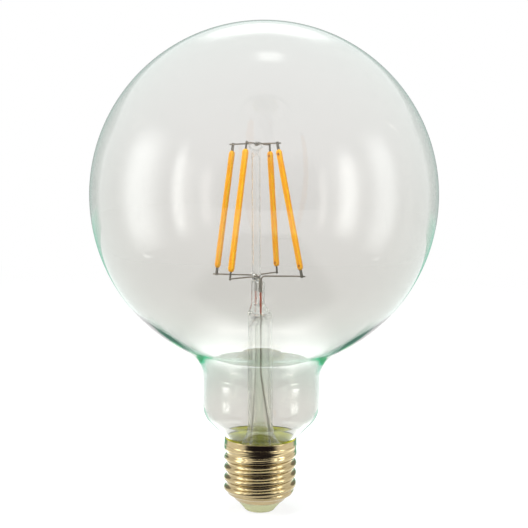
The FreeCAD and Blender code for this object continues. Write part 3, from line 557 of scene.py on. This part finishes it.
def overlaid(tree, share, under, colour):
    """Output of a Mix node that lays a colour over the node under it, by a share from 0 to 1."""
    made = node(tree, "Mix", {"data_type": "RGBA"}, {COLOUR_B: linear(colour)}, Factor=share)
    tree.links.new(under.outputs[0], made.inputs[COLOUR_A])
    return made.outputs[COLOUR_OUT]


def blended(tree, share, first, second):
    """Mix Shader node: the first shader where share is 0 and the second where it is 1."""
    mix = node(tree, "MixShader")
    for place, source in enumerate((share, first.outputs[0], second.outputs[0])):
        tree.links.new(source, mix.inputs[place])
    return mix


def material(name):
    """An empty material with its output node."""
    made = bpy.data.materials.new(name)
    made.use_nodes = True
    made.node_tree.nodes.clear()
    output = made.node_tree.nodes.new("ShaderNodeOutputMaterial")
    return made, made.node_tree, output


def dress(finish, *pieces):
    """Gives the material to new pieces, and to CAD nodes by name, which keep their meshes."""
    for piece in pieces:
        target = frame["nodes"][piece] if isinstance(piece, str) else piece
        target.data.materials.clear()
        target.data.materials.append(finish)
    print(finish.name, "on", len(pieces), "pieces")


# %% [markdown]
# ## Glass
#
# The globe is soda-lime glass, fire-polished by the flame that shaped it, so it has no texture at all.
# What the eye sees is reflection, refraction and a green cast where the light's way through the wall is
# long, at the outline and in the thick curve above the neck. An absorbing volume gives that cast by
# itself. Light also has to reach the mount, so shadow rays pass: glass this thin casts next to none. The
# tubes of the mount send part of the light straight on as well, or the leads behind them would be lost.

# %% Clear glass


def clear_glass(name, shade_tints, heights, cast, density, straight=0.0):
    """Refracting Principled glass with an absorbing volume that lets shadow rays through.

    Its base colour is painted shade: it runs from the first, darker colour to the second between two heights
    in mm.
    straight is the share of light that a thin wall lets pass unbent.
    """
    finish, tree, output = material(name)
    place = node(tree, "TexCoord")
    split = node(tree, "SeparateXYZ", Vector=place.outputs["Object"])
    share = eased(tree, heights[0] * MM, heights[1] * MM, split.outputs["Z"])
    painted_shade = node(tree, "ValToRGB", Fac=share)
    painted_shade.color_ramp.elements[0].color = linear(shade_tints[0])
    painted_shade.color_ramp.elements[1].color = linear(shade_tints[1])
    body = node(tree, "BsdfPrincipled", values={
        "Roughness": 0.0, "IOR": 1.52, "Transmission Weight": 1.0,
    }, Base_Color=painted_shade)
    path = node(tree, "LightPath")
    through = node(tree, "BsdfTransparent", values={"Color": linear("#fdfefd")})
    passed = maths(tree, "MAXIMUM", path.outputs["Is Shadow Ray"], straight)
    mix = blended(tree, passed, body, through)
    tree.links.new(mix.outputs[0], output.inputs["Surface"])
    absorbing = node(tree, "VolumeAbsorption", values={"Color": linear(cast), "Density": density})
    tree.links.new(absorbing.outputs[0], output.inputs["Volume"])
    return finish


# Both glasses carry painted shade in their base colour, greyer low down and paler above; the mount's is also
# yellower at its foot.
MOUNT_GLASS = (("#f6f7ee", "#fcfcfc"), (20, 80), "#c4ecd9", 6.0)
globe_glass = clear_glass("blown_soda_lime_glass", ("#e9e1df", "#fbf4f5"), (30, 176), "#38efcb", 85.0)
stem_glass = clear_glass("pressed_soda_lime_glass", *MOUNT_GLASS, straight=0.35)
tube_glass = clear_glass("drawn_soda_lime_glass", *MOUNT_GLASS, straight=0.93)
dress(globe_glass, globe)
dress(stem_glass, stem)
dress(tube_glass, exhaust)

# %% [markdown]
# ## Phosphor
#
# Each filament is a strip of tiny chips under silicone filled with yellow phosphor. The silicone is
# cast, so its skin is satin, and where it is thin, along the edges, it looks paler and yellower than
# in the middle. Near each end a brown spot shows where the first chip is bonded. The colour runs across
# the strip, so it is read from the piece's own UV map.

# %% Filament coats
COAT_LENGTH = 44.0
COAT_HALF = 1.05
COAT_POWER = 3.2
COAT_END = 1.2
CHIPS = 28
CHIP_WAVE = 0.022
ANGLES = {
    "back_left": (159, 151), "front_left": (249, 238), "back_right": (56, 63), "front_right": (-31, -16),
}


def spoke(degrees, radius, height):
    """Point at a distance and angle from the rod's axis."""
    turn = math.radians(degrees)
    return np.array((radius * math.cos(turn) + ROD_SHIFT, radius * math.sin(turn), height))


def unit(vector):
    """The vector divided by its own length."""
    return vector / np.linalg.norm(vector)


def filament_axes(top_angle, bottom_angle):
    """Middle of a filament and its three axes: across the strip, out of its flat side, and along it.

    The strip is SPAN long between a lower and an upper circle, so its rise is the other side of a
    right-angled triangle over the two points' level distance.
    """
    high = spoke(top_angle, TOP_SPREAD, BRANCH)
    low = spoke(bottom_angle, BOTTOM_SPREAD, BRANCH)
    high[2] += math.sqrt(SPAN ** 2 - np.sum((high - low) ** 2))
    along = unit(high - low)
    turn = math.radians((top_angle + bottom_angle) / 2)
    side = np.array((-math.sin(turn), math.cos(turn), 0))
    flat = unit(side - along * side.dot(along))
    return (high + low) / 2, np.cross(flat, along), flat, along


def coat_rings(axes, phase):
    """Rings of a bead round a strip: a rounded square section, full to near the ends, then closing.

    The section is |x|^n + |y|^n = 1 with n = COAT_POWER. Its size is sqrt(1 - t^2) over the last
    COAT_END mm, t being the share of that length, times a faint wave for the chips and a slower one for
    the hand-drawn bead.
    """
    middle, across, flat, along = axes
    inner = np.linspace(-1, 1, 170) * (COAT_LENGTH / 2 - COAT_END)
    closing = COAT_LENGTH / 2 - COAT_END + COAT_END * np.sin(np.linspace(0.15, 1.5, 9))
    place = np.concatenate((closing[::-1], inner[::-1], -closing))
    past = np.clip((np.abs(place) - COAT_LENGTH / 2 + COAT_END) / COAT_END, 0, 1)
    chips = CHIP_WAVE * np.cos(2 * np.pi * CHIPS * place / COAT_LENGTH)
    drawn = 0.02 * np.sin(place / 3.1 + phase) + 0.012 * np.sin(place / 1.3 + 2 * phase)
    size = COAT_HALF * np.sqrt(1 - past ** 2) * (0.955 + chips + drawn)
    angle = np.linspace(0, 2 * np.pi, 24, endpoint=False)
    cosine, sine = np.cos(angle), np.sin(angle)
    reach = (np.abs(cosine) ** COAT_POWER + np.abs(sine) ** COAT_POWER) ** (-1 / COAT_POWER)
    x = (reach * cosine)[None, :, None] * size[:, None, None]
    y = (reach * sine)[None, :, None] * size[:, None, None]
    return middle + x * across + y * flat + place[:, None, None] * along


def wrap_uv(piece, rows, columns, front):
    """UV map of a closed surface: u runs once round each ring and v from the last ring to the first.

    front is the share of the round that gets u = 0.5, the side with the bond marks.
    """
    row, column = np.mgrid[0:rows - 1, 0:columns]
    u = np.stack((column, column + 1, column + 1, column), axis=-1) / columns + 0.5 - front
    v = 1 - np.stack((row, row, row + 1, row + 1), axis=-1) / (rows - 1)
    quads = np.stack((u, v), axis=-1).reshape(-1, 4, 2)[:, ::-1].reshape(-1, 2)
    ends = np.repeat((1.0, 0.0), 3 * columns)
    caps = np.stack((np.full(6 * columns, 0.5), ends), axis=-1)
    layer = piece.data.uv_layers.new(name="wrap")
    layer.data.foreach_set("uv", np.concatenate((quads, caps)).ravel())


MARKED_SIDE = {"back_left": 0.75, "front_left": 0.5, "back_right": 0.5, "front_right": 0.75}
coats = []
for phase, (name, angles) in enumerate(ANGLES.items()):
    axes = filament_axes(*angles)
    print(name, "turns these sides to the camera:", np.round([-axes[1][1], -axes[2][1]], 2))
    rings = coat_rings(axes, phase * 1.7)
    ends = [axes[0] + axes[3] * sign * (COAT_LENGTH / 2 - 0.002) for sign in (1, -1)]
    coat = surface("cast_coat_" + name, leaned(rings), poles=leaned(np.array(ends)))
    wrap_uv(coat, len(rings), rings.shape[1], MARKED_SIDE[name])
    coats.append(placed(coat, "phosphor", "phosphor_coat_" + name))

# %% Phosphor
ROUND_MM = 2 * math.pi * COAT_HALF
MARK_FROM_END = 2.6
MARK_RADIUS = 0.62
MARK_MIDDLE = 0.2
phosphor, tree, output = material("phosphor_silicone")
wrap = node(tree, "UVMap", {"uv_map": "wrap"})
split = node(tree, "SeparateXYZ", Vector=wrap)
turn = maths(tree, "MULTIPLY", split.outputs["X"], 2 * math.pi)
corner = maths(tree, "COSINE", maths(tree, "MULTIPLY", turn, 4.0))
streak_place = node(tree, "Mapping", values={"Scale": (ROUND_MM, COAT_LENGTH * 0.16, 1)}, Vector=wrap)
streaks = node(tree, "TexNoise", values={"Scale": 1.6, "Detail": 3.0}, Vector=streak_place)
uneven = maths(tree, "MULTIPLY", maths(tree, "SUBTRACT", streaks.outputs["Fac"], 0.5), 2.2)
depth = maths(tree, "ADD", maths(tree, "MULTIPLY", corner, 0.3), uneven)
deep = node(tree, "MapRange", values={"From Min": -0.75, "From Max": 0.75}, Value=depth)
skin = node(tree, "ValToRGB", Fac=deep)
skin.color_ramp.elements[0].color = linear("#e8ba06")
skin.color_ramp.elements[1].color = linear("#e08700")
skin.color_ramp.elements.new(0.5).color = linear("#eda000")
facing = maths(tree, "MULTIPLY", maths(tree, "ADD", maths(tree, "COSINE", turn), 1.0), 2 * COAT_HALF ** 2)
from_middle = maths(tree, "ABSOLUTE", maths(tree, "SUBTRACT", split.outputs["Y"], 0.5))
from_mark = maths(tree, "SUBTRACT", maths(tree, "MULTIPLY", from_middle, COAT_LENGTH),
                  COAT_LENGTH / 2 - MARK_FROM_END)
apart = maths(tree, "SQRT", maths(tree, "ADD", facing, maths(tree, "MULTIPLY", from_mark, from_mark)))
mark = eased(tree, MARK_RADIUS, MARK_MIDDLE, apart, top=0.85)
marked = overlaid(tree, mark, skin, "#7a3a08")
ripple = node(tree, "Bump", values={"Strength": 0.25, "Distance": 0.05 * MM}, Height=streaks.outputs["Fac"])
body = node(tree, "BsdfPrincipled", values={
    "Roughness": 0.5, "IOR": 1.42, "Specular IOR Level": 0.2,
}, Base_Color=marked, Normal=ripple)
tree.links.new(body.outputs[0], output.inputs["Surface"])
dress(phosphor, *coats)

# %% [markdown]
# ## Metals, ceramics and plastics
#
# No made surface is even. A rolled or drawn metal keeps fine lines along the way that it was worked, and
# a moulded or baked one keeps a grain. One recipe serves them all: noise of the grain's real size, perhaps
# drawn out along one axis, runs the colour and the roughness between two values and lifts the surface.

# %% Grained finishes


def grained(name, colours, grain, roughness, metallic=0.0, stretch=(1, 1, 1), relief=0.0):
    """Principled finish whose noise has its largest lumps about grain mm across, divided by stretch.

    colours and roughness are pairs that the noise runs between. relief is the height of the lumps in mm.
    """
    finish, tree, output = material(name)
    place = node(tree, "TexCoord")
    drawn = node(tree, "Mapping", values={"Scale": stretch}, Vector=place.outputs["Object"])
    lumps = node(tree, "TexNoise", values={"Scale": 1 / (grain * MM), "Detail": 4.0}, Vector=drawn)
    share = node(tree, "MapRange", values={"From Min": 0.3, "From Max": 0.7}, Value=lumps.outputs["Fac"])
    tone = node(tree, "ValToRGB", Fac=share)
    tone.color_ramp.elements[0].color = linear(colours[0])
    tone.color_ramp.elements[1].color = linear(colours[1])
    rough = node(tree, "MapRange", values={"To Min": roughness[0], "To Max": roughness[1]}, Value=share)
    lift = node(tree, "Bump", values={"Strength": 1.0, "Distance": relief * MM}, Height=lumps.outputs["Fac"])
    body = node(tree, "BsdfPrincipled", values={"Metallic": metallic},
                Base_Color=tone, Roughness=rough, Normal=lift)
    tree.links.new(body.outputs[0], output.inputs["Surface"])
    return finish, tree, tone, body


def named(*starts):
    """Names of the CAD nodes that start with one of the words."""
    return [name for name in frame["nodes"] if name.startswith(starts)]


# %% [markdown]
# Nickel plating on brass is bright and a little warm. The dies leave lines that run round the cap, closer
# than the eye can part, which soften its reflections a little.

# %% Cap metal
plated = grained("nickel_plated_brass", ("#b19d73", "#c3b38c"), 2.5, (0.05, 0.12), 1.0, (1, 1, 14), 0.003)[0]
dress(plated, shell)

# %% [markdown]
# The insulator is pressed from glass powder and resin, so it is matt, with fine specks. The cement is
# marble flour in yellow resin, baked hard: a coarse grain. The solder froze as it cooled, dull and rippled.

# %% Insulator, cement, solder and brass
compound = grained("moulded_glass_compound", ("#a3a47c", "#b3b48d"), 0.35, (0.45, 0.6), relief=0.01)[0]
cement = grained("resin_cement", ("#b3a21a", "#d3c132"), 0.6, (0.7, 0.9), relief=0.06)[0]
tin = grained("tin_solder", ("#a9abad", "#c4c6c8"), 0.5, (0.25, 0.5), 1.0, relief=0.01)[0]
brass = grained("stamped_brass", ("#cfae66", "#dec07c"), 0.4, (0.22, 0.36), 1.0, relief=0.002)[0]
dress(compound, insulator)
dress(cement, "basing_cement")
dress(tin, solder, "shell_solder")
dress(brass, "centre_contact")

# %% [markdown]
# The mount's wires are nickel-plated iron, drawn through dies and then heated by the welding: dull and
# greyish brown, with lines along them. Where a lead passes the pinch it is iron clad in copper, because
# copper takes the glass's own expansion. Its oxide is the red that shows through the stem.

# %% Wires and tabs
COPPER_LOW = 71.6
COPPER_HIGH = 80.6
DRAWN_OUT = (3, 3, 0.6)
DULL = (("#7a7266", "#a0978a"), 0.5, (0.28, 0.45), 1.0, DRAWN_OUT, 0.002)
dull_wire = grained("drawn_nickel_iron", *DULL)[0]
dull_tab = grained("stamped_nickel_iron", ("#67625a", "#857f75"), 0.4, (0.32, 0.5), 1.0, relief=0.004)[0]
lead, tree, tone, body = grained("copper_clad_lead", *DULL)
height = node(tree, "SeparateXYZ", Vector=node(tree, "TexCoord").outputs["Object"]).outputs["Z"]
above = eased(tree, (COPPER_LOW - 0.6) * MM, COPPER_LOW * MM, height)
below = eased(tree, (COPPER_HIGH + 0.4) * MM, COPPER_HIGH * MM, height)
oxide = overlaid(tree, maths(tree, "MULTIPLY", above, below), tone, "#b5573a")
tree.links.new(oxide, body.inputs["Base Color"])
tinned = grained("tinned_copper", ("#b9b5ae", "#cfccc6"), 0.6, (0.25, 0.4), 1.0, DRAWN_OUT, 0.002)[0]
dress(dull_wire, *named("anchor_wire", "branch_wire"))
dress(lead, *named("lead_"))
dress(dull_tab, *named("top_tab", "bottom_tab"))
dress(tinned, "contact_wire", "resistor_wire", "shell_wire")

# %% [markdown]
# The strips are sintered alumina, white with a fine grain. The driver stands in the cap, out of sight. Its
# board is glass cloth in resin under green varnish, so the weave shows as two crossing waves, one for each
# thread. A Wave texture with a scale of 1 runs through WAVE_RATE radians in a metre.

# %% Strips and driver
alumina = grained("sintered_alumina", ("#dcd9d1", "#ece9e3"), 0.12, (0.5, 0.65), relief=0.004)[0]
sleeve = grained("shrunk_sleeve", ("#1b1b21", "#2a2a31"), 1.2, (0.25, 0.38), 0.0, (1, 1, 0.3), 0.02)[0]
epoxy = grained("moulded_epoxy", ("#161616", "#232323"), 0.1, (0.5, 0.7), relief=0.008)[0]
lacquer = grained("dipped_lacquer", ("#77937a", "#8aa68d"), 0.8, (0.3, 0.42), relief=0.01)[0]
laminate, tree, tone, body = grained("board_laminate", ("#25603b", "#347049"), 0.7, (0.35, 0.5), relief=0.005)
place = node(tree, "TexCoord").outputs["Object"]
CLOTH = 0.6
WAVE_RATE = 20
threads = [
    node(tree, "TexWave", {"bands_direction": axis, "wave_profile": "SIN"},
         {"Scale": 2 * math.pi / WAVE_RATE / (CLOTH * MM), "Distortion": 0.6}, Vector=place)
    for axis in ("X", "Z")
]
weave = maths(tree, "ADD", threads[0].outputs["Fac"], threads[1].outputs["Fac"])
cloth = node(tree, "Bump", values={"Strength": 0.5, "Distance": 0.01 * MM}, Height=weave)
shade = node(tree, "MapRange", values={"From Max": 2.0}, Value=weave)
tree.links.new(shade.outputs[0], tone.inputs[0])
tree.links.new(cloth.outputs[0], body.inputs["Normal"])
dress(alumina, *named("filament_strip"))
dress(laminate, "driver_board")
dress(sleeve, "smoothing_capacitor")
dress(epoxy, "driver_chip", "bridge_rectifier")
dress(lacquer, "fusible_resistor")

# %% [markdown]
# ## Studio
#
# The lamp is photographed against white. The floor and the world send white to the camera, to the
# reflections and through the glass, and light the lamp at a plainer level, so that no colour clips.

# %% Floor and world


def studio_white(tree, direct, other, output):
    """The direct shader for camera, glossy and transmission rays, and the other one for the rest."""
    path = node(tree, "LightPath")
    seen = maths(tree, "MAXIMUM", path.outputs["Is Camera Ray"], path.outputs["Is Glossy Ray"])
    share = maths(tree, "MAXIMUM", seen, path.outputs["Is Transmission Ray"])
    mix = blended(tree, share, other, direct)
    tree.links.new(mix.outputs[0], output.inputs["Surface"])


def flat_square(name, half):
    """Object of one level square face, from -half to half in metres."""
    corners = [(-half, -half, 0), (half, -half, 0), (half, half, 0), (-half, half, 0)]
    mesh = bpy.data.meshes.new(name)
    mesh.from_pydata(corners, [], [(0, 1, 2, 3)])
    piece = bpy.data.objects.new(name, mesh)
    scene.collection.objects.link(piece)
    return piece


world = bpy.data.worlds.new("studio")
scene.world = world
world.use_nodes = True
world.node_tree.nodes.clear()
sky = world.node_tree
white = node(sky, "Background", values={"Color": (1, 1, 1, 1), "Strength": 1.0})
fill = node(sky, "Background", values={"Color": (1, 1, 1, 1), "Strength": 0.55})
studio_white(sky, white, fill, sky.nodes.new("ShaderNodeOutputWorld"))

floor = flat_square("floor", 6.0)
floor_finish, floor_tree, floor_output = material("floor_paint")
floor_white = node(floor_tree, "BsdfDiffuse", values={"Color": (0.9, 0.9, 0.9, 1)})
floor_light = node(floor_tree, "Emission", values={"Color": (1, 1, 1, 1), "Strength": 1.0})
floor_place = node(floor_tree, "VectorMath", {"operation": "LENGTH"},
                   Vector=node(floor_tree, "TexCoord").outputs["Object"])
floor_far = node(floor_tree, "MapRange", values={"From Min": 0.1, "From Max": 1.2, "To Min": 0.8},
                 Value=floor_place.outputs["Value"])
floor_seen = blended(floor_tree, floor_far.outputs[0], floor_white, floor_light)
studio_white(floor_tree, floor_seen, floor_white, floor_output)
floor.data.materials.append(floor_finish)

# %% [markdown]
# Clear glass and bright metal show nothing but their surroundings, so these are built of cards, as a
# photographer does it. Tall white ones at the sides draw the long highlights of the globe, one overhead
# and one behind its crown give the soft patches on top, and a bright table under it fills its lower half
# with light. Dark ones in front put the black band down the middle of the cap, and grey and green ones
# behind give the glass and the metal their edges. Glass sends back a twentieth of the light and metal
# two thirds of it, so the table card fades out for the cap, which is nearer to it than the globe is. Two
# low and bright ones at the sides glint on the neck, and fade out for the globe, nearer to them.

# %% Cards


def card(name, centre, size, turn, tilt, colour, strength, edges, reach=None):
    """Glowing card that faces the lamp, seen only in reflections: by rays that a surface has sent back.

    Its glow fades to nothing towards the edges, by a smooth step over these shares of its half sizes.
    With a reach it also fades in between two lengths in metres of the ray that meets it, from nothing
    at the first to full at the second. Sizes are in metres, and turn and tilt in degrees.
    """
    piece = flat_square(name, 0.5)
    piece.location = centre
    piece.scale = (size[0], size[1], 1)
    piece.rotation_euler = (math.radians(tilt), 0, math.radians(turn))
    piece.visible_camera = False
    piece.visible_diffuse = False
    piece.visible_shadow = False
    finish, tree, output = material(name)
    split = node(tree, "SeparateXYZ", Vector=node(tree, "TexCoord").outputs["Object"])
    fades = []
    for axis, edge in zip(("X", "Y"), edges):
        away = maths(tree, "ABSOLUTE", split.outputs[axis])
        fades.append(eased(tree, 0.5, 0.5 - edge / 2, away))
    path = node(tree, "LightPath")
    sent_back = maths(tree, "MINIMUM", path.outputs["Glossy Depth"], 1.0)
    share = maths(tree, "MULTIPLY", maths(tree, "MULTIPLY", *fades), sent_back)
    if reach:
        near_enough = eased(tree, *reach, path.outputs["Ray Length"])
        share = maths(tree, "MULTIPLY", share, near_enough)
    clear = node(tree, "BsdfTransparent")
    glow = node(tree, "Emission", values={"Color": linear(colour), "Strength": strength})
    mix = blended(tree, share, clear, glow)
    tree.links.new(mix.outputs[0], output.inputs["Surface"])
    piece.data.materials.append(finish)
    return piece


def standing(name, azimuth, distance, width, low, high, colour, strength, edges, reach=None):
    """Upright card between two heights, at an azimuth from the camera's side and a distance in metres."""
    turn = math.radians(azimuth)
    centre = (distance * math.sin(turn), -distance * math.cos(turn), (low + high) / 2)
    return card(name, centre, (width, high - low), azimuth, 90, colour, strength, edges, reach)


NOT_THE_GLOBE = (0.18, 0.186)
NOT_THE_CAP = (0.038, 0.055)
CAP_ONLY = (0.075, 0.05)
highlights = [
    standing("left_softbox", -74, 0.229, 0.17, -0.03, 0.27, "#ffffff", 3.2, (0.95, 0.6)),
    standing("left_strip", -49, 0.279, 0.06, -0.03, 0.28, "#ffffff", 2.7, (0.9, 0.6)),
    standing("right_softbox", 71, 0.227, 0.12, -0.03, 0.27, "#ffffff", 2.7, (0.9, 0.6)),
    standing("right_strip", 48, 0.297, 0.09, -0.03, 0.28, "#ffffff", 2.7, (0.9, 0.6)),
    standing("left_lamp", -70, 0.2, 0.09, 0, 0.024, "#ffffff", 11.0, (0.8, 0.9), NOT_THE_GLOBE),
    standing("right_lamp", 67, 0.2, 0.09, 0, 0.024, "#ffffff", 11.0, (0.8, 0.9), NOT_THE_GLOBE),
    card("top_softbox", (0.01, 0, 0.5), (0.12, 0.1), 0, 0, "#ffffff", 2.4, (0.8, 0.8)),
    card("rear_softbox", (0, 0.3, 0.49), (0.36, 0.24), 0, -41, "#ffffff", 2.8, (0.8, 0.9)),
]
surroundings = [
    card("table_glow", (0, -0.002, 0.0003), (0.14, 0.13), 0, 0, "#ffffff", 4.4, (0.7, 0.6), NOT_THE_CAP),
    standing("front_black", 3, 0.7, 1.05, -0.3, 0.5, "#3a3440", 0.5, (0.45, 0.6)),
    card("floor_black", (0.006, -0.17, 0.0006), (0.2, 0.26), 3, 0, "#3a3440", 0.5, (0.35, 0.3)),
    card("near_black", (0.003, -0.07, 0.0007), (0.09, 0.12), 3, 0, "#3a3440", 0.5, (0.45, 0.25), CAP_ONLY),
    standing("rear_grey", 180, 0.45, 1.3, 0.02, 0.42, "#9a9a9a", 1.0, (0.3, 0.4)),
    card("floor_green", (0, 0.1, 0.0005), (0.22, 0.1), 0, 0, "#84bda6", 1.1, (0.3, 0.5)),
    standing("rear_green", 180, 0.44, 1.2, -0.05, 0.09, "#7fc0a8", 1.0, (0.3, 0.5)),
]
for piece in surroundings:
    piece.visible_transmission = False
print(len(highlights), "cards show in both faces of the glass, the others in its outer face only")

# %% [markdown]
# The lamps light the pieces that scatter light, such as the phosphor and the insulator. They are hidden
# from reflections, where the cards take their place.

# %% Lamps
AIM_HEIGHT = 0.1


def soft_lamp(name, azimuth, distance, height, size, watts):
    """Square area lamp at an azimuth from the camera's side, turned to the axis at AIM_HEIGHT metres."""
    turn = math.radians(azimuth)
    data = bpy.data.lights.new(name, "AREA")
    data.size = size
    data.energy = watts
    lamp = bpy.data.objects.new(name, data)
    lamp.location = (distance * math.sin(turn), -distance * math.cos(turn), height)
    aim = math.atan2(height - AIM_HEIGHT, distance)
    lamp.rotation_euler = (math.pi / 2 - aim, 0, turn)
    scene.collection.objects.link(lamp)
    lamp.visible_glossy = False
    lamp.visible_transmission = False


soft_lamp("key_lamp", -50, 1.0, 0.8, 0.6, 18)
soft_lamp("fill_lamp", 60, 1.0, 0.6, 0.6, 10)
soft_lamp("top_lamp", 180, 0.15, 1.1, 0.5, 10)

# %% [markdown]
# ## Camera
#
# The photograph was taken close, level with the globe's middle, with the picture shifted down to the cap.
# The lamp stands less than a degree out of upright in it, which is the camera's roll here. The picture's
# width, its focal length and the row at the camera's level are in pixels.

# %% Camera
PICTURE = 528
FOCAL_LENGTH = 950
LEVEL_ROW = 201
SENSOR = 36.0
ROLL = math.radians(-0.8356)
camera_data = bpy.data.cameras.new("camera")
camera_data.sensor_width = SENSOR
camera_data.lens = FOCAL_LENGTH / PICTURE * SENSOR
camera_data.shift_y = (LEVEL_ROW - PICTURE / 2) / PICTURE
camera_data.clip_start = 0.01
camera = bpy.data.objects.new("camera", camera_data)
camera.location = (0, -0.345, 0.1119)
camera.rotation_euler = (math.pi / 2, ROLL, 0)
scene.collection.objects.link(camera)
scene.camera = camera
scene.view_settings.view_transform = "Standard"

# %% [markdown]
# A ray meets many walls of glass in the globe, the stem and the exhaust tube, and each one sends a part
# of it back. A ray that runs out of bounces ends black, so many are allowed here.

# %% Bounces
BOUNCES = 48
scene.cycles.max_bounces = BOUNCES
scene.cycles.transmission_bounces = BOUNCES
scene.cycles.glossy_bounces = BOUNCES
scene.cycles.transparent_max_bounces = BOUNCES
